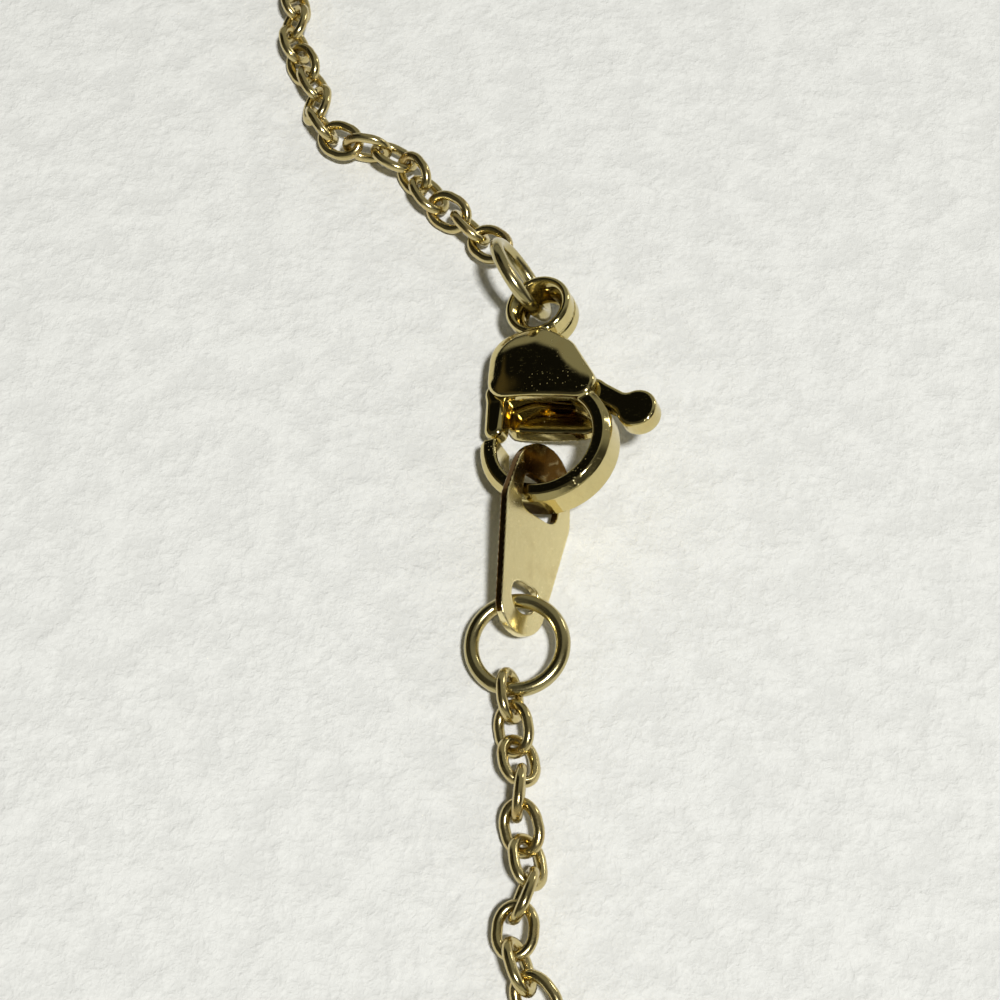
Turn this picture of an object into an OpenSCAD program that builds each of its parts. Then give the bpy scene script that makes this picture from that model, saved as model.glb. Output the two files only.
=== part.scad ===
// A fine gold chain necklace that closes with a lobster claw clasp and a tag.
// It lies on a table: z = 0 is the table top, +Z is up and the clasp points along +Y.
// The origin is under the middle of the whole loop.

/* [Chain] */
// Outer length of one link
link_length = 2.78; // [2.7:0.01:2.84]
// Outer width of one link
link_width = 2.12; // [2.1:0.02:2.2]
// Thickness of a link's wire
link_wire = 0.48; // [0.42:0.01:0.49]
// Free play between two links
link_play = 0.22; // [0.2:0.01:0.24]
// Radius of the round that the chain lies in
loop_r = 65; // [64:0.5:66]

/* [Jump rings] */
// Outer diameter of both jump rings
ring_d = 5; // [4.8:0.1:5.2]
// Thickness of their wire
ring_wire = 0.7; // [0.6:0.05:0.75]

/* [Clasp] */
// Outer radius of the hook
hook_r = 3.36; // [3.3:0.02:3.42]
// Width of the hook's band
hook_band = 0.9; // [0.8:0.05:1]
// Thickness of the hook, front to back
hook_thick = 2; // [1.8:0.1:2.2]
// Thickness of the head at its crown
head_thick = 2.9; // [2.7:0.1:3.1]
// Outer radius of the end loop
eye_r = 1.72; // [1.6:0.02:1.8]
// Thickness of the end loop
eye_thick = 1.8; // [1.6:0.1:1.8]
// Width of the slot that the lever swings in
slot_w = 1.3; // [1.2:0.05:1.4]
// Thickness of the lever
lever_thick = 1.1; // [1:0.05:1.15]
// Radius of the pivot pin
pin_r = 0.4; // [0.35:0.05:0.45]
// Clearance between the pin and the lever's bore
pin_play = 0.05; // [0.03:0.01:0.08]

/* [Tag] */
// Distance between the tag's two holes
tag_pitch = 5.2; // [5.1:0.05:5.25]
// Thickness of the tag
tag_thick = 0.42; // [0.36:0.02:0.44]
// Half of the width of the hole that the hook goes through
tag_eye_r = 1.28; // [1.26:0.01:1.32]
// Radius of the hole that the jump ring goes through
tag_hole_r = 0.9; // [0.88:0.01:0.92]

/* [Hidden] */
gold = [0.80, 0.72, 0.47];
dark_gold = [0.70, 0.60, 0.34];

// Middle of the whole loop, seen from a point on the table just left of the tag
middle = [49.96, 16.11];

// Where the parts of the fastening lie, and how they lean
clasp_at = [2.42, 1.75, 2.15];
clasp_turn = 3;
clasp_roll = 21;
tag_at = [1.83, -0.95, 1.89];
tag_turn = -9;
tag_slope = 4;
tag_roll = 48;
clasp_ring_at = [1.07, 11.67, 2.29];
clasp_ring_turn = -68;
clasp_ring_lean = 28.5;
tag_ring_at = [0.79, -8.46, 1.23];
tag_ring_slope = 7.5;
tag_ring_roll = -9;

// Chain: pitch, bow radius and straight side of a link
pitch = link_length - 2 * link_wire - link_play;
bow_r = (link_width - link_wire) / 2;
side = link_length - link_width;

// Visible stretch above the clasp, from the jump ring outwards.
// Columns: turn of the chain before this link, roll of the link about its length (both in degrees).
upper_start = [0.03, 14.32];
upper_start_z = 1.14;
upper_heading = 134;
upper_links = [
    [0, -14], [-5, 51], [15, -42], [-22, 31], [-1, -55], [27, 25], [21, 90], [-21, -24],
    [-29, 59], [-32, -45], [25, 45], [6, -45], [-16, 45], [-18, -45], [15, 45],
];
// The same below the tag's jump ring
lower_start = [0.41, -10.1];
lower_start_z = 0.97;
lower_heading = -87;
lower_links = [
    [0, -61], [6, 38], [-2, -27], [-13, 90], [19, 28], [-7, -41], [-27, 75], [16, 11], [22, -61], [20, 30],
];

function rest(roll) = bow_r * abs(sin(roll)) + link_wire / 2;
function heading(rows, start, i) = i < 0 ? start : heading(rows, start, i - 1) + rows[i][0];
// Step on the table from one joint to the next; the first link of a stretch is tipped up at its start.
function step(rows, start_z, i) =
    i > 0 ? pitch : sqrt(pitch * pitch - pow(start_z - max(rest(rows[0][1]), rest(rows[1][1])), 2));
function walk(rows, at, start_z, start, i) =
    i == 0 ? at
    : let (h = heading(rows, start, i - 1))
        walk(rows, at, start_z, start, i - 1) + step(rows, start_z, i - 1) * [cos(h), sin(h)];

// The hidden stretch: an arc from each visible end runs into one big circle.
loop_c = [47, 16];
upper_end = walk(upper_links, upper_start, upper_start_z, upper_heading, len(upper_links));
lower_end = walk(lower_links, lower_start, lower_start_z, lower_heading, len(lower_links));
upper_out = heading(upper_links, upper_heading, len(upper_links) - 1);
lower_out = heading(lower_links, lower_heading, len(lower_links) - 1);
function join_r(p, n) = let (d = loop_c - p) (d * d - loop_r * loop_r) / (2 * (d * n - loop_r));
upper_n = [sin(upper_out), -cos(upper_out)];
lower_n = [-sin(lower_out), cos(lower_out)];
upper_r = join_r(upper_end, upper_n);
lower_r = join_r(lower_end, lower_n);
upper_c = upper_end + upper_r * upper_n;
lower_c = lower_end + lower_r * lower_n;
function bearing(v) = atan2(v[1], v[0]);
function wrap(a) = a - 360 * floor(a / 360);
function meet(c, r) = bearing((loop_r > r ? 1 : -1) * (c - loop_c));
a1 = wrap(bearing(upper_end - upper_c) - meet(upper_c, upper_r));
a3 = wrap(meet(lower_c, lower_r) - bearing(lower_end - lower_c));
a2 = wrap(meet(upper_c, upper_r) - meet(lower_c, lower_r));
len1 = upper_r * a1 * PI / 180;
len2 = loop_r * a2 * PI / 180;
len3 = lower_r * a3 * PI / 180;
hidden_length = len1 + len2 + len3;
hidden_count = 2 * round(hidden_length / pitch / 2);
hidden_pitch = hidden_length / hidden_count;
function on_circle(c, r, a) = c + r * [cos(a), sin(a)];
function hidden_point(s) =
    s < len1 ? on_circle(upper_c, upper_r, bearing(upper_end - upper_c) - s / upper_r * 180 / PI)
    : s < len1 + len2 ? on_circle(loop_c, loop_r, meet(upper_c, upper_r) - (s - len1) / loop_r * 180 / PI)
    : on_circle(lower_c, lower_r, meet(lower_c, lower_r) - (s - len1 - len2) / lower_r * 180 / PI);

// All joints between links, in order, and the roll of each link between two joints
joints = concat(
    [for (i = [0 : len(upper_links) - 1]) walk(upper_links, upper_start, upper_start_z, upper_heading, i)],
    [for (i = [0 : hidden_count - 1]) hidden_point(i * hidden_pitch)],
    [for (i = [len(lower_links) : -1 : 0]) walk(lower_links, lower_start, lower_start_z, lower_heading, i)]
);
rolls = concat(
    [for (row = upper_links) row[1]],
    [for (i = [0 : hidden_count - 1]) i % 2 == 0 ? -45 : 45],
    [for (i = [len(lower_links) - 1 : -1 : 0]) -lower_links[i][1]]
);
count = len(rolls);
function joint_z(i) =
    i == 0 ? upper_start_z : i == count ? lower_start_z : max(rest(rolls[i - 1]), rest(rolls[i]));

module link() {
    for (end = [0, 180]) rotate([0, 0, end]) {
        translate([side / 2, 0, 0]) rotate([0, 0, -90]) rotate_extrude(angle = 180, $fn = 32)
            translate([bow_r, 0]) circle(d = link_wire, $fn = 16);
        translate([-side / 2, bow_r, 0]) rotate([0, 90, 0]) cylinder(d = link_wire, h = side, $fn = 16);
    }
}

module chain() {
    color(gold) place() for (i = [0 : count - 1]) {
        a = [joints[i][0], joints[i][1], joint_z(i)];
        b = [joints[i + 1][0], joints[i + 1][1], joint_z(i + 1)];
        run = b - a;
        translate((a + b) / 2)
            rotate([0, -atan2(run[2], norm([run[0], run[1]])), atan2(run[1], run[0])])
            rotate([rolls[i], 0, 0]) link();
    }
}

module place() {
    translate([-middle[0], -middle[1], 0]) children();
}

module jump_ring() {
    rotate_extrude($fn = 64) translate([(ring_d - ring_wire) / 2, 0]) circle(d = ring_wire, $fn = 24);
}

module clasp_jump_ring() {
    color(gold) place() translate(clasp_ring_at)
        rotate([90 + clasp_ring_lean, 0, clasp_ring_turn]) jump_ring();
}

module tag_jump_ring() {
    color(gold) place() translate(tag_ring_at)
        rotate([tag_ring_slope, 0, 0]) rotate([0, tag_ring_roll, 0]) jump_ring();
}

module at_clasp() {
    place() translate(clasp_at) rotate([0, 0, clasp_turn]) rotate([0, -clasp_roll, 0]) children();
}

// Clasp, in its own frame: x towards the thumb tab, y towards the end loop, z out of the front.
// The hook is centred on the origin.
eye_at = [0.15, 7.9];
eye_band = 0.5;
pivot = [-0.8, 4.1];
// How far the pin stops short of the head's front and back
pin_short = 0.3;
// Corners of the head's outline. Columns: x, y, radius.
head_corners = [[-1.4, 3.95, 1.3], [-1.05, 4.9, 1.5], [0, 5.15, 1.2], [0.8, 4.3, 1.3], [1.95, 2.6, 0.9]];
// How much further the back plate reaches towards the hook than the front plate
back_reach = 1;
// Radius of the head's rounded crown, and its middle along the clasp
crown_r = 8;
crown_y = 4;
// How far the edges of the hook's section are cut off
hook_edge = 0.22;
// Outline of the hook's mouth, which the gate closes, and of the way out for the lever's neck
mouth = [[-5, 0.65], [-1, 0.65], [1.5, 2.4], [1.5, 5], [-5, 5]];
neck_way = [[0, 5.5], [0, 2.6], [1.9, 1.95], [3.6, 0.65], [5, 0.65], [5, 5.5]];

module round_at(row) {
    translate([row[0], row[1]]) circle(r = row[2], $fn = 32);
}

module head_outline() {
    hull() for (row = head_corners) round_at(row);
}

module back_outline() {
    hull() {
        head_outline();
        translate([0, -back_reach]) round_at(head_corners[0]);
        translate([-0.2, -back_reach]) round_at(head_corners[len(head_corners) - 1]);
    }
}

module clasp_head() {
    intersection() {
        union() {
            linear_extrude(head_thick / 2) head_outline();
            translate([0, 0, -head_thick / 2]) linear_extrude(head_thick / 2) back_outline();
        }
        crown_lens();
    }
}

// A lens that rounds the crown of the head off towards its edges
module crown_lens() {
    intersection() {
        translate([0, crown_y, head_thick / 2 - crown_r]) sphere(r = crown_r, $fn = 96);
        translate([0, crown_y, crown_r - head_thick / 2]) sphere(r = crown_r, $fn = 96);
    }
}

module hook_section() {
    inner = hook_r - hook_band;
    top = hook_thick / 2;
    polygon([
        [inner, -top + hook_edge], [inner + hook_edge, -top], [hook_r - hook_edge, -top],
        [hook_r, -top + 1.5 * hook_edge], [hook_r, top - 1.5 * hook_edge],
        [hook_r - hook_edge, top], [inner + hook_edge, top], [inner, top - hook_edge],
    ]);
}

module clasp_hook() {
    difference() {
        rotate_extrude($fn = 96) hook_section();
        translate([0, 0, -hook_thick]) linear_extrude(2 * hook_thick) polygon(mouth);
        translate([0, 0, -slot_w / 2]) linear_extrude(slot_w) polygon(neck_way);
    }
}

module clasp_body() {
    color(dark_gold) at_clasp() difference() {
        union() {
            difference() {
                clasp_head();
                // The slot between the front and the back plate
                translate([-5, 0, -slot_w / 2]) cube([10, 5.5, slot_w]);
            }
            clasp_hook();
            translate([eye_at[0], eye_at[1], -eye_thick / 2]) cylinder(r = eye_r, h = eye_thick, $fn = 64);
            translate([pivot[0], pivot[1], pin_short - head_thick / 2])
                cylinder(r = pin_r, h = head_thick - 2 * pin_short, $fn = 32);
        }
        translate([eye_at[0], eye_at[1], -eye_thick])
            cylinder(r = eye_r - eye_band, h = 2 * eye_thick, $fn = 64);
    }
}

// Rounds that the lever's outline runs over. Columns: x, y, radius.
lever_hub = [pivot[0], pivot[1], 1];
gate_lug = [-2.4, 3.5, 0.6];
gate_tip = [-2.7, 1.55, 0.52];
neck = [2.6, 2.35, 0.55];
neck_end = [3.8, 1.3, 0.5];
thumb_tab = [4.6, 0.7, 1];

module arm(from, to) {
    hull() {
        round_at(from);
        round_at(to);
    }
}

module clasp_lever() {
    color(dark_gold) at_clasp() translate([0, 0, -lever_thick / 2]) difference() {
        linear_extrude(lever_thick) union() {
            arm(lever_hub, gate_lug);
            arm(gate_lug, gate_tip);
            arm(lever_hub, neck);
            arm(neck, neck_end);
            round_at(thumb_tab);
        }
        translate([pivot[0], pivot[1], -1]) cylinder(r = pin_r + pin_play, h = lever_thick + 2, $fn = 32);
    }
}

// Tag, in its own frame: the hole for the hook is at the origin and the tag runs down to -y.
tag_rounds = [[0.75, 1.95], [-0.8, 2.25], [-5.65, 1.5]];
tag_eye_half = 0.35;
module connector_tag() {
    color(gold) place() translate(tag_at) rotate([tag_slope, 0, tag_turn]) rotate([0, tag_roll, 0])
        translate([0, 0, -tag_thick / 2]) linear_extrude(tag_thick) difference() {
            hull() for (row = tag_rounds) translate([0, row[0]]) circle(r = row[1], $fn = 48);
            for (s = [-1, 1]) translate([0, s * tag_eye_half]) circle(r = tag_eye_r, $fn = 48);
            square([2 * tag_eye_r, 2 * tag_eye_half], center = true);
            translate([0, -tag_pitch]) circle(r = tag_hole_r, $fn = 48);
        }
}

chain();
clasp_jump_ring();
clasp_body();
clasp_lever();
connector_tag();
tag_jump_ring();
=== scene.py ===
"""Looks of a fine gold chain necklace that closes with a lobster claw clasp and a tag.

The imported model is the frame: every piece is placed from its nodes or from the same sizes in millimetres.
The cast pieces are meshed from smooth distance fields, and the chain is instanced with Geometry Nodes.
"""

import math

import bpy
import numpy as np
from bpy.props import FloatProperty, FloatVectorProperty, IntProperty, PointerProperty
from mathutils import Matrix, Vector


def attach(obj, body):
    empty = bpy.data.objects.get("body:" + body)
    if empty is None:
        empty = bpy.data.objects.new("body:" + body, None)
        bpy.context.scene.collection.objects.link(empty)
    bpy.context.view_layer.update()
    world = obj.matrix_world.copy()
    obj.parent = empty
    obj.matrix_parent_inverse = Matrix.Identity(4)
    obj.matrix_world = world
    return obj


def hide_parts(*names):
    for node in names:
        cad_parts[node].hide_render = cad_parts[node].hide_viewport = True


bl_info = {
    "name": "Chain necklace looks",
    "version": (1, 0, 0),
    "blender": (4, 5, 0),
    "location": "View3D > Sidebar > Necklace",
    "description": "Builds the chain, the rings, the clasp and the tag of a gold necklace on paper",
    "category": "Object",
}

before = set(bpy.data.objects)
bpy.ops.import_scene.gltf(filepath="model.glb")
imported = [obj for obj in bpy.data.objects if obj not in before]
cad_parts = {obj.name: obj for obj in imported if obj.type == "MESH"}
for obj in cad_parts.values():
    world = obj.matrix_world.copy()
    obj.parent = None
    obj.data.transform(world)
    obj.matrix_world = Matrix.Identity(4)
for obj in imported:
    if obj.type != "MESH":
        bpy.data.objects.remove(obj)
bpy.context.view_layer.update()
MM = 0.001


# Named sizes and colours


class NecklaceSizes(bpy.types.PropertyGroup):
    """Sizes of the pieces in millimetres.

    The outlines and places are those of the part's source. The link's wire, the crown, the bevels, the end
    loop's hole and the tag's openings are finer here than in the source.
    """

    link_wire: FloatProperty(name="Link wire", description="Wire of a link with its plating", default=0.51)
    link_round: FloatProperty(name="Link roundness", description="1 oval, 0 straight sides", default=0.6)
    link_width: FloatProperty(name="Link width", description="Outer width of a link", default=2.12)
    link_length: FloatProperty(name="Link length", description="Outer length of a link", default=2.78)
    link_steps: IntProperty(name="Link steps", description="Steps of the mesh round a link", default=30)
    wire_sides: IntProperty(name="Wire sides", description="Sides of a link's wire", default=12)
    ring_d: FloatProperty(name="Jump ring", description="Outer diameter of a jump ring", default=5.0)
    ring_wire: FloatProperty(name="Ring wire", description="Wire of a jump ring", default=0.7)
    hook_r: FloatProperty(name="Hook radius", description="Outer radius of the hook", default=3.36)
    hook_band: FloatProperty(name="Hook band", description="Width of the hook, from above", default=0.9)
    hook_thick: FloatProperty(name="Hook thickness", description="Thickness of the hook", default=2.0)
    head_thick: FloatProperty(name="Head thickness", description="Thickness of the head", default=2.9)
    crown_r: FloatProperty(name="Crown radius", description="Radius of the head's curved top", default=20.0)
    droop: FloatProperty(name="Crown fall", description="Fall of the head's top to its edge", default=0.3)
    bevel: FloatProperty(name="Hook bevel", description="Bevel of the hook's outer edge", default=0.3)
    eye_r: FloatProperty(name="End loop", description="Outer radius of the end loop", default=1.72)
    eye_thick: FloatProperty(name="End loop thickness", description="Thickness of the end loop", default=1.8)
    slot_w: FloatProperty(name="Slot", description="Width of the slot that the lever swings in", default=1.3)
    lever_thick: FloatProperty(name="Lever thickness", description="Thickness of the lever", default=1.1)
    pin_r: FloatProperty(name="Pin", description="Radius of the pivot pin", default=0.4)
    pin_play: FloatProperty(name="Pin play", description="Play between the pin and the lever", default=0.05)
    back_reach: FloatProperty(name="Back plate", description="Reach past the front plate", default=1.0)
    tag_pitch: FloatProperty(name="Tag pitch", description="Between the tag's two holes", default=5.2)
    tag_thick: FloatProperty(name="Tag thickness", description="Thickness of the tag's plate", default=0.42)
    tag_eye_r: FloatProperty(name="Tag eye", description="Half of the eye's width", default=1.28)
    tag_eye_half: FloatProperty(name="Tag eye side", description="Half of its straight side", default=0.35)
    tag_hole_r: FloatProperty(name="Tag hole", description="Radius of the tag's round hole", default=0.9)
    voxel: FloatProperty(name="Cast mesh step", description="Mesh step of the clasp and lever", default=0.08)
    fine_voxel: FloatProperty(name="Tag mesh step", description="Mesh step of the tag", default=0.055)


class NecklaceLooks(bpy.types.PropertyGroup):
    """Colours and finish of the metal, the paper and the light."""

    gold: FloatVectorProperty(
        name="Chain", description="Gold of the chain's links", subtype="COLOR", default=(0.61, 0.505, 0.24)
    )
    ring_gold: FloatVectorProperty(
        name="Jump rings", description="Gold of the rings", subtype="COLOR", default=(0.52, 0.445, 0.22)
    )
    cast_gold: FloatVectorProperty(
        name="Cast gold", description="Gold of the castings", subtype="COLOR", default=(0.64, 0.54, 0.25)
    )
    tag_gold: FloatVectorProperty(
        name="Tag", description="Paler gold of the stamped tag", subtype="COLOR", default=(0.92, 0.80, 0.44)
    )
    tarnish: FloatVectorProperty(
        name="Tarnish", description="Brown of the dull patches", subtype="COLOR", default=(0.55, 0.36, 0.12)
    )
    # Painted shade and reflection: this dark brown is painted where shade falls and where the metal would
    # mirror dark gold.
    painted_shade_brown: FloatVectorProperty(
        name="Amber", description="Amber of the hollows", subtype="COLOR", default=(0.11, 0.053, 0.006)
    )
    paper: FloatVectorProperty(
        name="Paper", description="White of the paper", subtype="COLOR", default=(0.80, 0.80, 0.765)
    )
    key_power: FloatProperty(name="Lamp", description="Power of the main lamp in watts", default=5.85)
    fill_power: FloatProperty(name="Second lamp", description="Its power in watts", default=0.35)
    ceiling: FloatVectorProperty(
        name="Ceiling", description="Lit ceiling of the room", subtype="COLOR", default=(0.27, 0.27, 0.23)
    )
    window: FloatVectorProperty(
        name="Window", description="Bright low side on the right", subtype="COLOR", default=(0.55, 0.54, 0.5)
    )
    front: FloatVectorProperty(
        name="Front", description="Bright side in front", subtype="COLOR", default=(0.42, 0.42, 0.36)
    )
    wall: FloatVectorProperty(
        name="Wall", description="Dim wall on the left", subtype="COLOR", default=(0.07, 0.055, 0.025)
    )
    dim: FloatVectorProperty(
        name="Dim", description="Rest of the room", subtype="COLOR", default=(0.05, 0.048, 0.036)
    )
    dark: FloatVectorProperty(
        name="Dark", description="Dark side behind", subtype="COLOR", default=(0.006, 0.006, 0.005)
    )
    camera_lens: FloatProperty(name="Lens", description="Focal length in mm on a 36 mm sensor", default=69.3)


# Where the fastening lies, in millimetres, as in the part's source.
MIDDLE = Vector((49.96, 16.11, 0.0))
CLASP_AT = Vector((2.42, 1.75, 2.15))
CLASP_TURN, CLASP_ROLL = 3.0, 21.0
TAG_AT = Vector((1.83, -0.95, 1.89))
TAG_TURN, TAG_SLOPE, TAG_ROLL = -9.0, 4.0, 48.0
CAMERA_FROM = Vector((0.0, -47.18, 81.72))

# Rounds that the outlines run over, in the clasp's own plane. Columns: x, y, radius.
HEAD = ((-1.4, 3.95, 1.3), (-1.05, 4.9, 1.5), (0, 5.15, 1.2), (0.8, 4.3, 1.3), (1.95, 2.6, 0.9))
LEVER_HUB = (-0.8, 4.1, 1.0)
GATE_LUG = (-2.4, 3.5, 0.6)
GATE_TIP = (-2.7, 1.55, 0.52)
NECK = (2.6, 2.35, 0.55)
NECK_END = (3.8, 1.3, 0.5)
THUMB_TAB = (4.6, 0.7, 1.0)
TAG = ((0, 0.75, 1.95), (0, -0.8, 2.25), (0, -5.65, 1.5))

# Corners of what is cut out of the hook: its mouth, and the way of the lever's neck.
MOUTH = ((-5, 0.65), (-1, 0.65), (1.5, 2.4), (1.5, 5), (-5, 5))
NECK_WAY = ((0, 5.5), (0, 2.6), (1.9, 1.95), (3.6, 0.65), (5, 0.65), (5, 5.5))

# Finer forms of the clasp.
CROWN_Y = 4.0  # where the head is highest
FALL_WIDTH, FALL_FROM, FALL_RUN = 1.25, 2.4, 1.6  # where its top falls to the edge
HEEL_FROM = 5.5  # where its two plates become one
BACK_SHIFT = 0.2  # how much narrower the back plate's low corner is
DRAFT, DRAFT_BELOW, DRAFT_RUN = 0.45, 2.2, 0.6  # how the back plate's low edge leans out
EYE_AT = (0.15, 7.9)
WAIST_R, WAIST_Z = 0.85, -0.3  # the end loop's hole at its narrowest
FLARE_TOP, FLARE_UNDER = 0.38, 1.1  # how it widens from there
HOLE_DEPTH = 4.0
GROOVE_OUT, GROOVE_Z, GROOVE_R = 0.02, -0.05, 0.1  # the groove round the end loop
SLANT = 0.7  # how far a bevel's face is, for each millimetre sideways
PIN_LENGTH = 2.0

# The hollow in the lever: its middle, direction (cosine and sine) and half sizes.
RECESS, RECESS_Z = (1.0, 2.35), 0.05
RECESS_SIDE = (0.89, 0.458)
RECESS_HALF = (1.35, 0.75, 0.4)

# The flattened ends of the tag's two openings, and how far a face turns left to count as its edge, which gets
# painted shade.
TAG_EYE_CUT, TAG_EYE_CUT_Y = 0.95, -0.15
TAG_HOLE_CUT = 0.55
TAG_SHADE_FACING = 0.85

# Patterns of the metal: cells to a millimetre, where on the noise each begins and is full, and its share.
DULL_PER_MM, DULL_AT = 0.9, (0.52, 0.78)
SPECKS_PER_MM, SPECKS_AT, SPECKS_SHARE = 9.0, (0.66, 0.74), 0.35
# The streaks only break up the painted dark brown shade.
STREAKS_PER_MM, STREAKS_AT, STREAKS_SHARE = 1.6, (0.5, 0.75), 0.25
WAVES_PER_MM = 0.8
GRAIN_PER_MM, GRAIN_AT = 14.0, (0.4, 0.75)
PIT_FIELDS_PER_MM, PIT_FIELDS_AT = 0.7, (0.62, 0.7)
SCRATCHES_PER_MM, SCRATCHES_AT = (2.2, 14.0, 6.0), (0.64, 0.7)

# Pits: cells to a millimetre, reach and soft edge as shares of a cell, and the chance numbers that have one.
PITS_PER_MM, PIT_REACH, PIT_EDGE, PIT_CHANCE = 8.0, 0.28, 0.1, (0.55, 0.6)

# How much of its reach a patch of painted dark brown shade and a rash of pits is full for.
PAINTED_SHADE_CORE, RASH_CORE = 0.85, 0.3

# What grain, dull patches, pits and scratches add to the roughness.
GRAIN_DULLS, PATCH_DULLS, PIT_DULLS, SCRATCH_DULLS = 0.06, 0.2, 0.5, 0.12

# The castings' roughness, and the heights of their waves and grain in millimetres.
CAST_FINISH = {"rough": 0.07, "wave": 0.012, "grain": 0.0006}

# Where pits lie close on the casting. Columns: place on the clasp, reach.
RASH = (((0.1, 2.9, 1.4), 1.0), ((1.3, 2.9, 1.3), 0.7), ((-2.9, 0.1, 1), 0.8))

# The paper: half of its side in metres, and its darkest place as a share of its colour. For mottle and
# fibres: cells to a millimetre, where on the noise each begins and is full, its share, and height in mm.
PAPER_HALF = 0.9
PAPER_SHADE = 0.88
MOTTLE_PER_MM, MOTTLE_AT, MOTTLE_SHARE, MOTTLE_HIGH = 0.5, (0.35, 0.65), 0.55, 0.07
FIBRES_PER_MM, FIBRES_AT, FIBRES_SHARE, FIBRES_HIGH = 2.6, (0.3, 0.7), 0.45, 0.018

# The camera's sensor in millimetres.
SENSOR = 36.0

# Meshing: how far apart the field is read for its slope, as a share of the step, the least slope squared,
# and how often and how far the points are evened out between their neighbours.
SLOPE_REACH, LEAST_SLOPE = 0.02, 0.2
EVEN_ROUNDS, KEPT, EVENED = 4, 0.4, 0.6

# A Mix node's factor, its two colours and its colour output, by number.
MIX_SHARE, MIX_A, MIX_B, MIX_RESULT = 0, 6, 7, 2


def turned(z=0.0, x=0.0, y=0.0):
    """The rotation that turns about Y, then X, then Z, in degrees."""
    return (
        Matrix.Rotation(math.radians(z), 4, "Z")
        @ Matrix.Rotation(math.radians(x), 4, "X")
        @ Matrix.Rotation(math.radians(y), 4, "Y")
    )


def clasp_place():
    return Matrix.Translation(CLASP_AT - MIDDLE) @ turned(CLASP_TURN, 0, -CLASP_ROLL)


def tag_place():
    return Matrix.Translation(TAG_AT - MIDDLE) @ turned(TAG_TURN, TAG_SLOPE, TAG_ROLL)


# Distance fields


def hull_of(rounds, steps=28):
    """Corners of the convex outline round the given circles, counter-clockwise."""
    turn = np.linspace(0, 2 * math.pi, steps, endpoint=False)
    points = np.vstack([np.c_[x + r * np.cos(turn), y + r * np.sin(turn)] for x, y, r in rounds])
    points = points[np.lexsort((points[:, 1], points[:, 0]))]

    def half(rows):
        out = []
        for p in rows:
            while len(out) > 1 and np.cross(out[-1] - out[-2], p - out[-2]) <= 0:
                out.pop()
            out.append(p)
        return out[:-1]

    return np.array(half(points) + half(points[::-1]))


def outline(p, corners):
    """Signed distance in the plane from the points to a closed polygon, negative inside."""
    corners = np.asarray(corners, float)
    best = np.full(len(p), np.inf)
    inside = np.zeros(len(p), bool)
    for a, b in zip(corners, np.roll(corners, -1, axis=0)):
        edge, to = b - a, p[:, :2] - a
        share = np.clip(to @ edge / (edge @ edge), 0, 1)
        best = np.minimum(best, ((to - share[:, None] * edge) ** 2).sum(1))
        crosses = (a[1] > p[:, 1]) != (b[1] > p[:, 1])
        rise = edge[1] if abs(edge[1]) > 1e-9 else 1e-9
        inside ^= crosses & (p[:, 0] < a[0] + edge[0] * (p[:, 1] - a[1]) / rise)
    return np.where(inside, -1, 1) * np.sqrt(best)


def disc(p, x, y, r):
    return np.hypot(p[:, 0] - x, p[:, 1] - y) - r


def slab(flat, z, low, high, edge):
    """A flat outline drawn out from low to high, with rounded edges."""
    tall = np.abs(z - (low + high) / 2) - (high - low) / 2
    a, b = flat + edge, tall + edge
    return np.minimum(np.maximum(a, b), 0) + np.hypot(np.maximum(a, 0), np.maximum(b, 0)) - edge


def join(a, b, blend):
    """Union with a fillet."""
    h = np.clip(0.5 + 0.5 * (b - a) / blend, 0, 1)
    return b + (a - b) * h - blend * h * (1 - h)


def cut(a, b, blend):
    """What is left of a when b is cut away, with a rounded edge."""
    return -join(-a, b, blend)


def surface_net(field, low, high, step):
    """Points and quads on the zero surface of a distance field, in even cells."""
    lines = [np.arange(a - 2 * step, b + 3 * step, step) for a, b in zip(low, high)]
    shape = tuple(len(line) for line in lines)
    grid = np.stack(np.meshgrid(*lines, indexing="ij"), -1).reshape(-1, 3)
    inside = (field(grid) < 0).reshape(shape)
    cells = np.zeros(tuple(n - 1 for n in shape), np.int8)
    for dx in (0, 1):
        for dy in (0, 1):
            for dz in (0, 1):
                cells += inside[
                    dx : shape[0] - 1 + dx, dy : shape[1] - 1 + dy, dz : shape[2] - 1 + dz
                ]
    active = np.argwhere((cells > 0) & (cells < 8))
    number = np.full(cells.shape, -1)
    number[tuple(active.T)] = np.arange(len(active))
    points = np.array([line[0] for line in lines]) + (active + 0.5) * step
    quads = []
    for axis in range(3):
        u, v = (axis + 1) % 3, (axis + 2) % 3
        first = np.take(inside, range(shape[axis] - 1), axis)
        second = np.take(inside, range(1, shape[axis]), axis)
        for flip, which in ((False, first & ~second), (True, ~first & second)):
            at = np.argwhere(which)
            ring = []
            for du, dv in ((-1, -1), (0, -1), (0, 0), (-1, 0)):
                cell = at.copy()
                cell[:, u] += du
                cell[:, v] += dv
                ring.append(number[tuple(cell.T)])
            quad = np.stack(ring, 1)
            quads.append(quad[:, ::-1] if flip else quad)
    quads = np.vstack(quads)
    small = step * SLOPE_REACH

    def pull(rows):
        """The points moved onto the surface along the field's slope."""
        slope = np.stack(
            [
                (field(rows + d) - field(rows - d)) / (2 * small)
                for d in np.eye(3) * small
            ],
            1,
        )
        value = field(rows)
        size = np.maximum((slope**2).sum(1), LEAST_SLOPE)
        move = np.clip(value / size, -step, step)
        return rows - move[:, None] * slope

    pairs = np.vstack([quads[:, [0, 1]], quads[:, [1, 2]], quads[:, [2, 3]], quads[:, [3, 0]]])
    pairs = np.vstack([pairs, pairs[:, ::-1]])
    share = np.bincount(pairs[:, 0], minlength=len(points))[:, None]
    for _ in range(EVEN_ROUNDS):
        points = pull(points)
        total = [np.bincount(pairs[:, 0], points[pairs[:, 1], k], len(points)) for k in range(3)]
        points = points * KEPT + np.stack(total, 1) / share * EVENED
    return pull(pull(points)), quads


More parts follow.
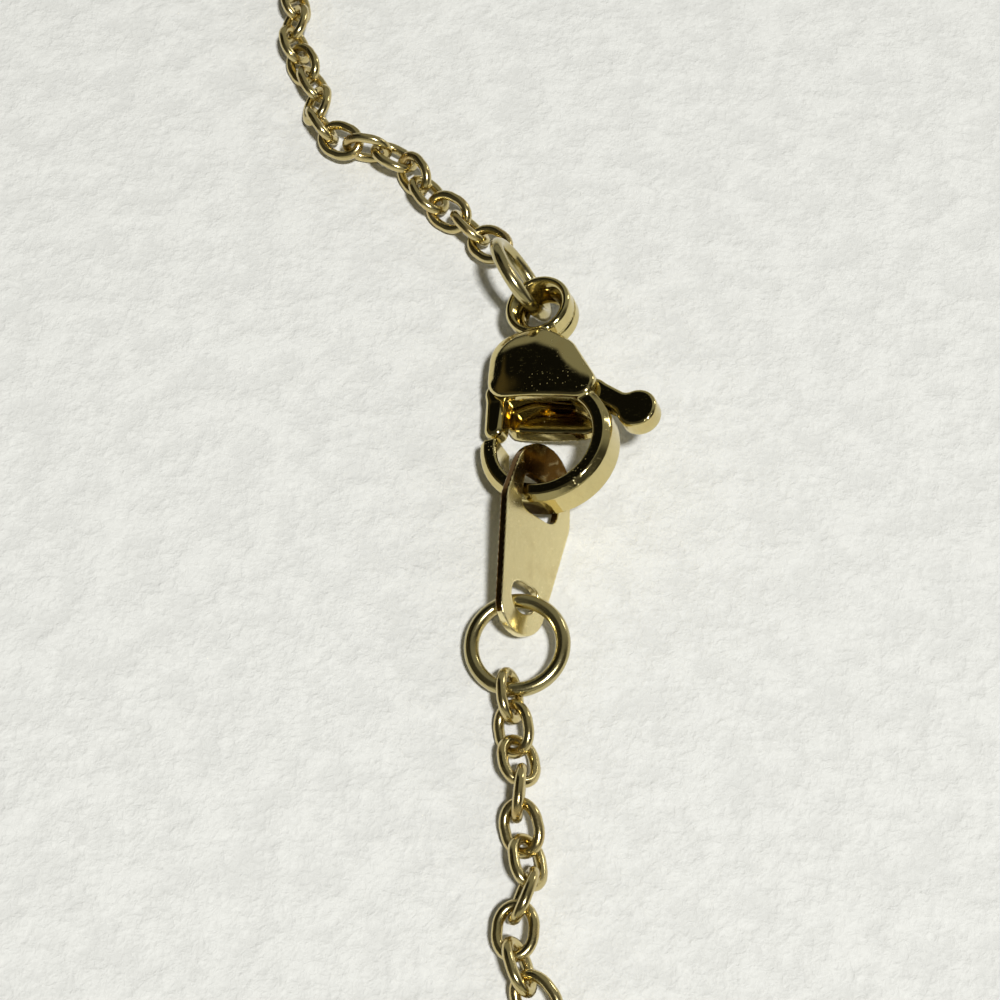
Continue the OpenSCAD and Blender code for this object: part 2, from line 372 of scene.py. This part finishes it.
def shaped(name, points, faces, place, material, body, replaces):
    """Makes a smooth mesh object of points in millimetres, places it and tells the frame about it."""
    matrix = np.array(place)
    points = (points @ matrix[:3, :3].T + matrix[:3, 3]) * MM
    mesh = bpy.data.meshes.new(name)
    mesh.from_pydata(points.tolist(), [], faces.tolist())
    mesh.update()
    return settled(name, mesh, material, body, replaces)


def settled(name, mesh, material, body, replaces):
    """Links a mesh as a finished piece that rides on a body and stands for a CAD node."""
    if mesh.materials:
        mesh.materials.clear()
    mesh.materials.append(material)
    mesh.polygons.foreach_set("use_smooth", np.ones(len(mesh.polygons), bool))
    piece = bpy.data.objects.new(name, mesh)
    bpy.context.scene.collection.objects.link(piece)
    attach(piece, body)
    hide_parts(replaces)
    return piece


# Reading the CAD nodes


def node_triangles(name):
    """Vertices (in metres) and triangles of a CAD node, with equal points merged."""
    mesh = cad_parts[name].data
    points = np.empty(len(mesh.vertices) * 3)
    mesh.vertices.foreach_get("co", points)
    points = points.reshape(-1, 3)
    mesh.calc_loop_triangles()
    faces = np.empty(len(mesh.loop_triangles) * 3, int)
    mesh.loop_triangles.foreach_get("vertices", faces)
    _, first, same = np.unique(np.round(points, 7), axis=0, return_index=True, return_inverse=True)
    return points[first], same.reshape(-1)[faces].reshape(-1, 3)


def islands(count, faces):
    """The number of the connected piece that each vertex belongs to."""
    label = np.arange(count)
    while True:
        low = label[faces].min(1)
        new = label.copy()
        for k in range(3):
            np.minimum.at(new, faces[:, k], low)
        new = new[new]
        if (new == label).all():
            return np.unique(label, return_inverse=True)[1].reshape(-1)
        label = new


def middle_and_axes(points, faces):
    """Centre of a thin solid's surface, and its axes from the longest to the shortest."""
    a, b, c = (points[faces[:, k]] for k in range(3))
    weight = np.linalg.norm(np.cross(b - a, c - a), axis=1)
    centre = (a + b + c) / 3
    middle = (centre * weight[:, None]).sum(0) / weight.sum()
    away = centre - middle
    _, axes = np.linalg.eigh((away * weight[:, None]).T @ away)
    axes = axes[:, ::-1]
    if np.linalg.det(axes) < 0:
        axes[:, 2] *= -1
    return middle, axes


# Node trees


def feed(tree, socket, value):
    """Gives a node's input a value, or a link where the value comes out of a node."""
    if isinstance(value, Sock):
        value = value.socket
    if isinstance(value, bpy.types.NodeSocket):
        tree.links.new(value, socket)
    else:
        socket.default_value = value


def add_node(tree, kind, inputs=None, **settings):
    """Adds a node: its settings first, then what its named or numbered inputs get."""
    node = tree.nodes.new(kind)
    for name, value in settings.items():
        setattr(node, name, value)
    for key, value in (inputs or {}).items():
        feed(tree, node.inputs[key], value)
    return node


class Sock:
    """What comes out of a node, which takes part in sums like a number."""

    def __init__(self, tree, socket):
        self.tree, self.socket = tree, socket

    def math(self, operation, *values, clamp=False):
        """A Math node on the given values."""
        node = add_node(
            self.tree, "ShaderNodeMath", dict(enumerate(values)), operation=operation, use_clamp=clamp
        )
        return Sock(self.tree, node.outputs[0])

    def __add__(self, other):
        return self.math("ADD", self, other)

    def __radd__(self, other):
        return self.math("ADD", other, self)

    def __sub__(self, other):
        return self.math("SUBTRACT", self, other)

    def __rsub__(self, other):
        return self.math("SUBTRACT", other, self)

    def __mul__(self, other):
        return self.math("MULTIPLY", self, other)

    def __rmul__(self, other):
        return self.math("MULTIPLY", other, self)

    def __truediv__(self, other):
        return self.math("DIVIDE", self, other)

    def __rtruediv__(self, other):
        return self.math("DIVIDE", other, self)

    def sign(self):
        return self.math("SIGN", self)

    def clamped(self):
        return self.math("ADD", self, 0.0, clamp=True)

    def over(self, low, high):
        """0 up to low, 1 from high on and smooth between."""
        node = add_node(
            self.tree,
            "ShaderNodeMapRange",
            {"Value": self, "From Min": low, "From Max": high},
            interpolation_type="SMOOTHSTEP",
        )
        return Sock(self.tree, node.outputs["Result"])


def mixed(tree, factor, a, b):
    """The colour a where the factor is 0, b where it is 1 and a mix between."""
    a, b = (colour if isinstance(colour, Sock) else (*colour, 1.0) for colour in (a, b))
    inputs = {MIX_SHARE: factor, MIX_A: a, MIX_B: b}
    return Sock(tree, add_node(tree, "ShaderNodeMix", inputs, data_type="RGBA").outputs[MIX_RESULT])


class Net:
    """A material's node tree with short ways to add what its look needs."""

    def __init__(self, name):
        self.material = bpy.data.materials.new(name)
        self.material.use_nodes = True
        self.tree = self.material.node_tree
        self.shader = self.tree.nodes["Principled BSDF"]
        here = add_node(self.tree, "ShaderNodeTexCoord")
        self.place = self.vector("SCALE", {0: here.outputs["Object"], "Scale": 1 / MM})

    def set(self, name, value):
        """Feeds an input of the shader."""
        feed(self.tree, self.shader.inputs[name], value)

    def vector(self, operation, inputs, output="Vector"):
        """A Vector Math node."""
        node = add_node(self.tree, "ShaderNodeVectorMath", inputs, operation=operation)
        return Sock(self.tree, node.outputs[output])

    def noise(self, per_mm, detail=2.0, rough=0.5, twist=0.0, where=None):
        """Soft noise with so many cells to a millimetre."""
        inputs = {"Scale": per_mm, "Detail": detail, "Roughness": rough, "Distortion": twist}
        inputs["Vector"] = where or self.place
        return Sock(self.tree, add_node(self.tree, "ShaderNodeTexNoise", inputs).outputs[0])

    def spots(self, per_mm):
        """Distance from the middle of scattered cells, and a chance number for each cell."""
        node = add_node(self.tree, "ShaderNodeTexVoronoi", {"Vector": self.place, "Scale": per_mm})
        parts = add_node(self.tree, "ShaderNodeSeparateColor", {0: node.outputs["Color"]})
        return Sock(self.tree, node.outputs["Distance"]), Sock(self.tree, parts.outputs[0])

    def near(self, point, full, none):
        """1 within full millimetres of the point, 0 past none and smooth between."""
        return 1 - self.vector("DISTANCE", {0: self.place, 1: point}, "Value").over(full, none)

    def bumped(self, height):
        """Bump from a height in millimetres."""
        node = add_node(self.tree, "ShaderNodeBump", {"Height": height, "Distance": MM, "Strength": 1.0})
        self.set("Normal", Sock(self.tree, node.outputs[0]))


def metal(name, colour, looks, rough, wave, grain, pits=0.0, scratches=0.0, painted_shade_patches=(), rash=(), stain=0.22):
    """Polished plated metal: soft waves from polishing, fine grain, pits of a casting, scratches, tarnish and
    painted shade.

    Wave, grain, pits and scratches are heights in millimetres. Each of painted_shade_patches is a place in
    millimetres, the reach of its painted dark brown shade and reflection, and its share. Each of rash is a
    place and reach where the pits lie close.
    """
    net = Net(name)
    dull = net.noise(DULL_PER_MM, detail=3.0).over(*DULL_AT) * stain
    specks = net.noise(SPECKS_PER_MM).over(*SPECKS_AT) * SPECKS_SHARE
    tint = mixed(net.tree, (dull + specks).clamped(), colour, looks.tarnish)
    # Painted shade and reflection: each patch paints dark brown over the gold.
    for place, reach, share in painted_shade_patches:
        streaks = 1 - net.noise(STREAKS_PER_MM, twist=0.5).over(*STREAKS_AT) * STREAKS_SHARE
        patch = net.near(place, reach * PAINTED_SHADE_CORE, reach) * share * streaks
        tint = mixed(net.tree, patch, tint, looks.painted_shade_brown)
    net.set("Base Color", tint)
    net.set("Metallic", 1.0)
    fine = net.noise(GRAIN_PER_MM, detail=3.0)
    height = net.noise(WAVES_PER_MM) * wave + fine * grain
    roughness = rough + fine.over(*GRAIN_AT) * GRAIN_DULLS + dull * PATCH_DULLS
    if pits:
        many = net.noise(PIT_FIELDS_PER_MM, detail=1.0).over(*PIT_FIELDS_AT)
        for place, reach in rash:
            many = many + net.near(place, reach * RASH_CORE, reach)
        away, chance = net.spots(PITS_PER_MM)
        hole = (PIT_REACH - away).over(0.0, PIT_EDGE) * chance.over(*PIT_CHANCE) * many.clamped()
        height = height - hole * pits
        roughness = roughness + hole * PIT_DULLS
    if scratches:
        brushed = net.vector("MULTIPLY", {0: net.place, 1: SCRATCHES_PER_MM})
        hair = net.noise(1.0, detail=3.0, rough=0.6, twist=0.4, where=brushed).over(*SCRATCHES_AT)
        height = height - hair * scratches
        roughness = roughness + hair * SCRATCH_DULLS
    net.set("Roughness", roughness)
    net.bumped(height)
    return net.material


# The pieces


class NECKLACE_OT_chain(bpy.types.Operator):
    """Instances one round-wire link at every place where the CAD chain has one"""

    bl_idname = "necklace.chain"
    bl_label = "Chain"

    def execute(self, context):
        sizes, looks = context.scene.necklace_sizes, context.scene.necklace_looks
        points, faces = node_triangles("chain")
        label = islands(len(points), faces)
        rows = [middle_and_axes(points, faces[label[faces[:, 0]] == k]) for k in range(label.max() + 1)]
        mesh = bpy.data.meshes.new("link_places")
        mesh.from_pydata([tuple(row[0]) for row in rows], [], [])
        turns = mesh.attributes.new("turn", "QUATERNION", "POINT")
        for item, row in zip(turns.data, rows):
            item.value = Matrix(row[1].tolist()).to_quaternion()
        places = bpy.data.objects.new("link_places", mesh)
        context.scene.collection.objects.link(places)
        gold = metal("Chain gold", looks.gold, looks, rough=0.17, wave=0.01, grain=0.0012, stain=0.6)
        modifier = places.modifiers.new("Links", "NODES")
        modifier.node_group = link_tree(gold)
        values = {
            "Bow radius": (sizes.link_width - sizes.link_wire) / 2 * MM,
            "Wire radius": sizes.link_wire / 2 * MM,
            "Straight side": (sizes.link_length - sizes.link_width) * MM,
            "Roundness": sizes.link_round,
            "Steps": sizes.link_steps,
            "Wire sides": sizes.wire_sides,
        }
        for item in modifier.node_group.interface.items_tree:
            if item.item_type == "SOCKET" and item.name in values:
                modifier[item.identifier] = values[item.name]
        ready = places.evaluated_get(context.evaluated_depsgraph_get())
        chain = bpy.data.meshes.new_from_object(ready)
        chain.name = "chain_links"
        bpy.data.objects.remove(places)
        settled("chain_links", chain, gold, "necklace", "chain")
        return {"FINISHED"}


def link_tree(material):
    """The node tree that turns points with a turn into a chain of round-wire links."""
    tree = bpy.data.node_groups.new("Links", "GeometryNodeTree")
    tree.interface.new_socket("Geometry", in_out="INPUT", socket_type="NodeSocketGeometry")
    tree.interface.new_socket("Geometry", in_out="OUTPUT", socket_type="NodeSocketGeometry")
    for name in ("Bow radius", "Wire radius", "Straight side", "Roundness"):
        tree.interface.new_socket(name, in_out="INPUT", socket_type="NodeSocketFloat")
    for name in ("Steps", "Wire sides"):
        tree.interface.new_socket(name, in_out="INPUT", socket_type="NodeSocketInt")

    given = add_node(tree, "NodeGroupInput").outputs
    bow = add_node(
        tree,
        "GeometryNodeCurvePrimitiveCircle",
        {"Resolution": given["Steps"], "Radius": given["Bow radius"]},
    )
    place = add_node(tree, "GeometryNodeInputPosition")
    parts = add_node(tree, "ShaderNodeSeparateXYZ", {"Vector": place.outputs[0]})
    x = Sock(tree, parts.outputs["X"])
    radius, roundness, straight = (
        Sock(tree, given[name]) for name in ("Bow radius", "Roundness", "Straight side")
    )
    # The ends move apart by half of the straight side, and the sides stay as round as asked.
    shift = (x / radius * roundness + x.sign() * (1 - roundness)) * (straight * 0.5)
    along = add_node(tree, "ShaderNodeCombineXYZ", {"X": shift})
    path = add_node(
        tree, "GeometryNodeSetPosition", {"Geometry": bow.outputs["Curve"], "Offset": along.outputs[0]}
    )
    wire = add_node(
        tree,
        "GeometryNodeCurvePrimitiveCircle",
        {"Resolution": given["Wire sides"], "Radius": given["Wire radius"]},
    )
    link = add_node(
        tree, "GeometryNodeCurveToMesh", {"Curve": path.outputs[0], "Profile Curve": wire.outputs["Curve"]}
    )
    turn = add_node(tree, "GeometryNodeInputNamedAttribute", {"Name": "turn"}, data_type="QUATERNION")
    spread = add_node(
        tree,
        "GeometryNodeInstanceOnPoints",
        {"Points": given["Geometry"], "Instance": link.outputs[0], "Rotation": turn.outputs[0]},
    )
    real = add_node(tree, "GeometryNodeRealizeInstances", {"Geometry": spread.outputs[0]})
    coat = add_node(
        tree, "GeometryNodeSetMaterial", {"Geometry": real.outputs[0], "Material": material}
    )
    add_node(tree, "NodeGroupOutput", {"Geometry": coat.outputs[0]})
    return tree


class NECKLACE_OT_rings(bpy.types.Operator):
    """Makes the two round jump rings where the CAD rings are"""

    bl_idname = "necklace.rings"
    bl_label = "Jump rings"

    def execute(self, context):
        sizes, looks = context.scene.necklace_sizes, context.scene.necklace_looks
        gold = metal("Ring gold", looks.ring_gold, looks, rough=0.17, wave=0.012, grain=0.0012)
        bow, wire = (sizes.ring_d - sizes.ring_wire) / 2, sizes.ring_wire / 2
        for node in ("clasp_jump_ring", "tag_jump_ring"):
            middle, axes = middle_and_axes(*node_triangles(node))
            place = Matrix.Translation(Vector(middle) / MM) @ Matrix(axes.tolist()).to_4x4()
            points, faces = torus(bow, wire, steps=120, sides=32)
            shaped(node + "_wire", points, faces, place, gold, "necklace", node)
        return {"FINISHED"}


def torus(big, small, steps, sides):
    """Points and quads of a torus about Z, faces outward."""
    a = np.linspace(0, 2 * math.pi, steps, endpoint=False)[:, None]
    b = np.linspace(0, 2 * math.pi, sides, endpoint=False)[None, :]
    reach = big + small * np.cos(b)
    points = np.stack([reach * np.cos(a), reach * np.sin(a), small * np.sin(b) + 0 * a], -1).reshape(-1, 3)
    i, j = np.meshgrid(np.arange(steps), np.arange(sides), indexing="ij")
    n, m = (i + 1) % steps, (j + 1) % sides
    faces = np.stack([i * sides + j, n * sides + j, n * sides + m, i * sides + m], -1).reshape(-1, 4)
    return points, faces


class NECKLACE_OT_clasp(bpy.types.Operator):
    """Meshes the cast clasp: hook, head with its slot, end loop and pivot pin"""

    bl_idname = "necklace.clasp"
    bl_label = "Clasp body"

    def execute(self, context):
        s, looks = context.scene.necklace_sizes, context.scene.necklace_looks
        (left_x, left_y, left_r), (right_x, right_y, right_r) = HEAD[0], HEAD[-1]
        low_left = (left_x, left_y - s.back_reach, left_r)
        low_right = (right_x - BACK_SHIFT, right_y - s.back_reach, right_r)
        front = hull_of(HEAD)
        back = hull_of(HEAD + (low_left, low_right))

        def head_field(p):
            """The head's two plates, joined at the heel, between its curved top and underside."""
            x, y, z = p.T
            flat = outline(p, front)
            fall = s.droop * np.clip(1 + flat / FALL_WIDTH, 0, 1) ** 2
            fall = fall * np.clip((y - FALL_FROM) / FALL_RUN, 0, 1)
            crown = np.sqrt(x**2 + (y - CROWN_Y) ** 2 + (z - s.head_thick / 2 + s.crown_r) ** 2)
            crown = crown + fall - s.crown_r
            keel = np.sqrt(x**2 + (y - CROWN_Y) ** 2 + (z + s.head_thick / 2 - s.crown_r) ** 2)
            keel = keel - s.crown_r
            top = slab(flat, z, s.slot_w / 2, s.head_thick, edge=0.12)
            draft = DRAFT * np.clip(-s.slot_w / 2 - z, 0, 1) * np.clip((DRAFT_BELOW - y) / DRAFT_RUN, 0, 1)
            under = slab(outline(p, back) - draft, z, -s.head_thick, -s.slot_w / 2, edge=0.05)
            heel = slab(np.maximum(flat, HEEL_FROM - y), z, -s.head_thick, s.head_thick, edge=0.1)
            head = join(join(top, heel, blend=0.1), under, blend=0.1)
            return np.maximum(-join(-head, -crown, blend=0.18), keel)

        def hook_field(p):
            """The bevelled hook, open at its mouth and where the lever's neck comes through."""
            x, y, z = p.T
            r = np.hypot(x, y)
            band = np.abs(r - s.hook_r + s.hook_band / 2) - s.hook_band / 2
            hook = slab(band, z, -s.hook_thick / 2, s.hook_thick / 2, edge=0.14)
            hook = np.maximum(hook, (r - s.hook_r + np.abs(z) - s.hook_thick / 2 + s.bevel) * SLANT)
            hook = cut(hook, outline(p, MOUTH), blend=0.12)
            way = slab(outline(p, NECK_WAY), z, -s.slot_w / 2, s.slot_w / 2, edge=0.02)
            return cut(hook, way, blend=0.1)

        def field(p):
            z = p[:, 2]
            eye = slab(disc(p, *EYE_AT, s.eye_r), z, -s.eye_thick / 2, s.eye_thick / 2, edge=0.24)
            groove = np.hypot(disc(p, *EYE_AT, s.eye_r + GROOVE_OUT), z - GROOVE_Z) - GROOVE_R
            eye = cut(eye, groove, blend=0.05)
            body = join(join(head_field(p), hook_field(p), blend=0.12), eye, blend=0.12)
            widening = np.where(z > WAIST_Z, FLARE_TOP, FLARE_UNDER) * (z - WAIST_Z) ** 2
            hole = disc(p, *EYE_AT, WAIST_R) - widening
            body = cut(body, np.maximum(hole, np.abs(z) - HOLE_DEPTH / 2), blend=0.12)
            pin = slab(disc(p, *LEVER_HUB[:2], s.pin_r), z, -PIN_LENGTH / 2, PIN_LENGTH / 2, edge=0.02)
            return np.minimum(body, pin)

        points, faces = surface_net(field, low=(-3.6, -3.5, -1.6), high=(3.7, 9.8, 1.6), step=s.voxel)
        place = clasp_place()
        # Painted shade and reflection: dark brown is painted inside the end loop and the slot for their shade
        # and mirrored gold, and as painted shadow on the hook under the tag.
        eye_middle = place @ Vector((*EYE_AT, 0.0))
        slot = place @ Vector((0.7, 3.4, -0.1))
        under_tag = tag_place() @ Vector((0.2, -0.9, -0.5))
        gold = metal(
            "Clasp gold",
            looks.cast_gold,
            looks,
            pits=0.004,
            scratches=0.0012,
            painted_shade_patches=[(eye_middle, 1.6, 0.3), (slot, 1.5, 0.3), (under_tag, 1.0, 0.9)],
            rash=[(place @ Vector(spot), reach) for spot, reach in RASH],
            **CAST_FINISH,
        )
        shaped("clasp_casting", points, faces, place, gold, "necklace", "clasp_body")
        return {"FINISHED"}


class NECKLACE_OT_lever(bpy.types.Operator):
    """Meshes the sprung lever with its gate and thumb tab"""

    bl_idname = "necklace.lever"
    bl_label = "Clasp lever"

    def execute(self, context):
        s, looks = context.scene.necklace_sizes, context.scene.necklace_looks
        top = s.lever_thick / 2
        pairs = ((LEVER_HUB, GATE_LUG), (GATE_LUG, GATE_TIP), (LEVER_HUB, NECK), (NECK, NECK_END))
        lug, gate, neck, neck_end = (hull_of(pair) for pair in pairs)

        def field(p):
            z = p[:, 2]
            drop = slab(outline(p, gate), z, -top, top, edge=0.34)
            flat = join(outline(p, lug), outline(p, neck), blend=0.15)
            flat = join(flat, outline(p, neck_end), blend=0.15)
            flat = join(flat, disc(p, *THUMB_TAB), blend=0.3)
            lever = join(slab(flat, z, -top, top, edge=0.18), drop, blend=0.15)
            dx, dy = p[:, 0] - RECESS[0], p[:, 1] - RECESS[1]
            along = dx * RECESS_SIDE[0] - dy * RECESS_SIDE[1]
            across = dx * RECESS_SIDE[1] + dy * RECESS_SIDE[0]
            long, wide, deep = RECESS_HALF
            away = np.sqrt((along / long) ** 2 + (across / wide) ** 2 + ((z - RECESS_Z) / deep) ** 2)
            bore = disc(p, *LEVER_HUB[:2], s.pin_r + s.pin_play)
            return np.maximum(cut(lever, (away - 1) * deep, blend=0.06), -bore)

        points, faces = surface_net(field, low=(-3.5, -0.4, -0.6), high=(5.6, 5.2, 0.6), step=s.voxel)
        # Painted shade: dark brown is painted in the lever's recess, where it lies in shade.
        recess = clasp_place() @ Vector((*RECESS, 0.1))
        gold = metal(
            "Lever gold",
            looks.cast_gold,
            looks,
            pits=0.004,
            scratches=0.001,
            painted_shade_patches=[(recess, 1.4, 0.85)],
            **CAST_FINISH,
        )
        shaped("lever_casting", points, faces, clasp_place(), gold, "lever", "clasp_lever")
        return {"FINISHED"}


class NECKLACE_OT_tag(bpy.types.Operator):
    """Meshes the flat drop-shaped tag with its eye and its round hole"""

    bl_idname = "necklace.tag"
    bl_label = "Connector tag"

    def execute(self, context):
        s, looks = context.scene.necklace_sizes, context.scene.necklace_looks
        edge = hull_of(TAG, steps=64)

        def field(p):
            x, y, z = p.T
            eye = np.hypot(x, np.maximum(np.abs(y) - s.tag_eye_half, 0)) - s.tag_eye_r
            eye = -join(-eye, TAG_EYE_CUT - np.abs(y - TAG_EYE_CUT_Y), blend=0.35)
            hole = disc(p, 0, -s.tag_pitch, s.tag_hole_r)
            hole = -join(-hole, -s.tag_pitch + TAG_HOLE_CUT - y, blend=0.3)
            flat = np.maximum(outline(p, edge), np.maximum(-eye, -hole))
            return slab(flat, z, -s.tag_thick / 2, s.tag_thick / 2, edge=0.03)

        points, faces = surface_net(field, low=(-2.4, -7.2, -0.3), high=(2.4, 2.9, 0.3), step=s.fine_voxel)
        # Painted reflection and shade: dark brown is painted on the tag's top inside the hook, where it
        # mirrors the clasp, and on the left side of its eye.
        eye_top = tag_place() @ Vector((0.0, 1.9, 0.0))
        eye_left = tag_place() @ Vector((-1.2, 0.3, 0.2))
        finish = {"rough": 0.16, "wave": 0.006, "grain": 0.0012}
        painted_shade_patches = [(eye_top, 1.9, 1.0), (eye_left, 0.95, 0.9)]
        gold = metal("Tag gold", looks.tag_gold, looks, scratches=0.0006, painted_shade_patches=painted_shade_patches, **finish)
        plate = shaped("tag_plate", points, faces, tag_place(), gold, "necklace", "connector_tag")
        # Painted shade: faces turned to the left, away from the lamp, get the dark brown instead of the gold.
        plate.data.materials.append(metal("Tag edge painted shade", looks.painted_shade_brown, looks, pits=0.008, **finish))
        left = tag_place().to_3x3() @ Vector((-1, 0, 0))
        painted_shade_faces = [face.normal.dot(left) > TAG_SHADE_FACING for face in plate.data.polygons]
        plate.data.polygons.foreach_set("material_index", painted_shade_faces)
        return {"FINISHED"}


# The stage


class NECKLACE_OT_stage(bpy.types.Operator):
    """Lays the paper, sets the lights and the dim room round it, and puts the camera at the photo's angle"""

    bl_idname = "necklace.stage"
    bl_label = "Paper, light and camera"

    def execute(self, context):
        looks, scene = context.scene.necklace_looks, context.scene
        target = -MIDDLE * MM
        mesh = bpy.data.meshes.new("paper")
        corners = [(x * PAPER_HALF, y * PAPER_HALF, 0) for x, y in ((-1, -1), (1, -1), (1, 1), (-1, 1))]
        mesh.from_pydata(corners, [], [(0, 1, 2, 3)])
        paper = bpy.data.objects.new("paper", mesh)
        scene.collection.objects.link(paper)
        mesh.materials.append(paper_material(looks.paper))
        # Columns: name, power, size, place from the middle of the picture in metres
        lights = (
            ("lamp", looks.key_power, 0.075, (0.14, -0.29, 0.70)),
            ("second", looks.fill_power, 0.12, (0.52, 0.44, 0.30)),
        )
        for name, power, size, away in lights:
            data = bpy.data.lights.new(name, "AREA")
            data.energy, data.size = power, size
            light = bpy.data.objects.new(name, data)
            light.location = target + Vector(away)
            light.rotation_euler = (-Vector(away)).to_track_quat("-Z", "Y").to_euler()
            scene.collection.objects.link(light)
        scene.world = room(looks)
        data = bpy.data.cameras.new("Camera")
        data.lens, data.sensor_width, data.clip_start = looks.camera_lens, SENSOR, MM
        camera = bpy.data.objects.new("Camera", data)
        camera.location = (CAMERA_FROM - MIDDLE) * MM
        camera.rotation_euler = (target - camera.location).to_track_quat("-Z", "Y").to_euler()
        scene.collection.objects.link(camera)
        scene.camera = camera
        scene.view_settings.view_transform = "Standard"
        return {"FINISHED"}


def room(looks):
    """A dim room that the metal mirrors.

    The ceiling is lit, low sides on the right and in front are bright, and it is dark behind on the left.
    """
    world = bpy.data.worlds.new("Room")
    world.use_nodes = True
    tree = world.node_tree
    here = add_node(tree, "ShaderNodeTexCoord")
    parts = add_node(tree, "ShaderNodeSeparateXYZ", {0: here.outputs["Generated"]})
    # Columns: colour, and for X, Y and Z where it begins and where it is full
    rows = (
        (looks.ceiling, (-0.34, -0.18), (-0.1, 0.35), (0.25, 0.5)),
        (looks.window, (0.3, 0.6), (-0.2, 0.1), (0.4, 0.2)),
        (looks.front, (-0.9, -0.7), (-0.5, -0.75), (0.65, 0.45)),
        (looks.dark, (-0.18, -0.34), (0.1, 0.3), (-0.2, -0.1)),
        (looks.ceiling, (-0.85, -0.7), (0.66, 0.8), (0.0, 0.2)),
        (looks.wall, (-0.66, -0.78), (0.1, 0.3), (0.25, 0.4)),
    )
    light = looks.dim
    for colour, *ranges in rows:
        in_x, in_y, in_z = (
            Sock(tree, parts.outputs[axis]).over(begins, full) for axis, (begins, full) in zip("XYZ", ranges)
        )
        light = mixed(tree, in_x * in_y * in_z, light, colour)
    feed(tree, tree.nodes["Background"].inputs["Color"], light)
    return world


def paper_material(colour):
    """Soft white paper: faint mottle, fibres and shallow waves."""
    net = Net("Paper")
    mottle = net.noise(MOTTLE_PER_MM, detail=4.0, rough=0.58).over(*MOTTLE_AT)
    fibres = net.noise(FIBRES_PER_MM, detail=4.0, rough=0.65, twist=0.8).over(*FIBRES_AT)
    shade = tuple(part * PAPER_SHADE for part in colour)
    light = (mottle * MOTTLE_SHARE + fibres * FIBRES_SHARE).clamped()
    net.set("Base Color", mixed(net.tree, light, shade, colour))
    net.set("Roughness", 0.95)
    net.set("Specular IOR Level", 0.2)
    net.bumped(mottle * MOTTLE_HIGH + fibres * FIBRES_HIGH)
    return net.material


class NECKLACE_PT_panel(bpy.types.Panel):
    """Buttons for the pieces of the necklace"""

    bl_idname = "NECKLACE_PT_panel"
    bl_label = "Necklace"
    bl_space_type = "VIEW_3D"
    bl_region_type = "UI"
    bl_category = "Necklace"

    def draw(self, context):
        for step in STEPS:
            self.layout.operator("necklace." + step)


STEPS = ("chain", "rings", "clasp", "lever", "tag", "stage")
CLASSES = (
    NecklaceSizes,
    NecklaceLooks,
    NECKLACE_OT_chain,
    NECKLACE_OT_rings,
    NECKLACE_OT_clasp,
    NECKLACE_OT_lever,
    NECKLACE_OT_tag,
    NECKLACE_OT_stage,
    NECKLACE_PT_panel,
)


def register():
    for kind in CLASSES:
        bpy.utils.register_class(kind)
    bpy.types.Scene.necklace_sizes = PointerProperty(type=NecklaceSizes)
    bpy.types.Scene.necklace_looks = PointerProperty(type=NecklaceLooks)


def unregister():
    del bpy.types.Scene.necklace_looks
    del bpy.types.Scene.necklace_sizes
    for kind in reversed(CLASSES):
        bpy.utils.unregister_class(kind)


def main():
    register()
    for step in STEPS:
        getattr(bpy.ops.necklace, step)()


if __name__ == "__main__":
    main()
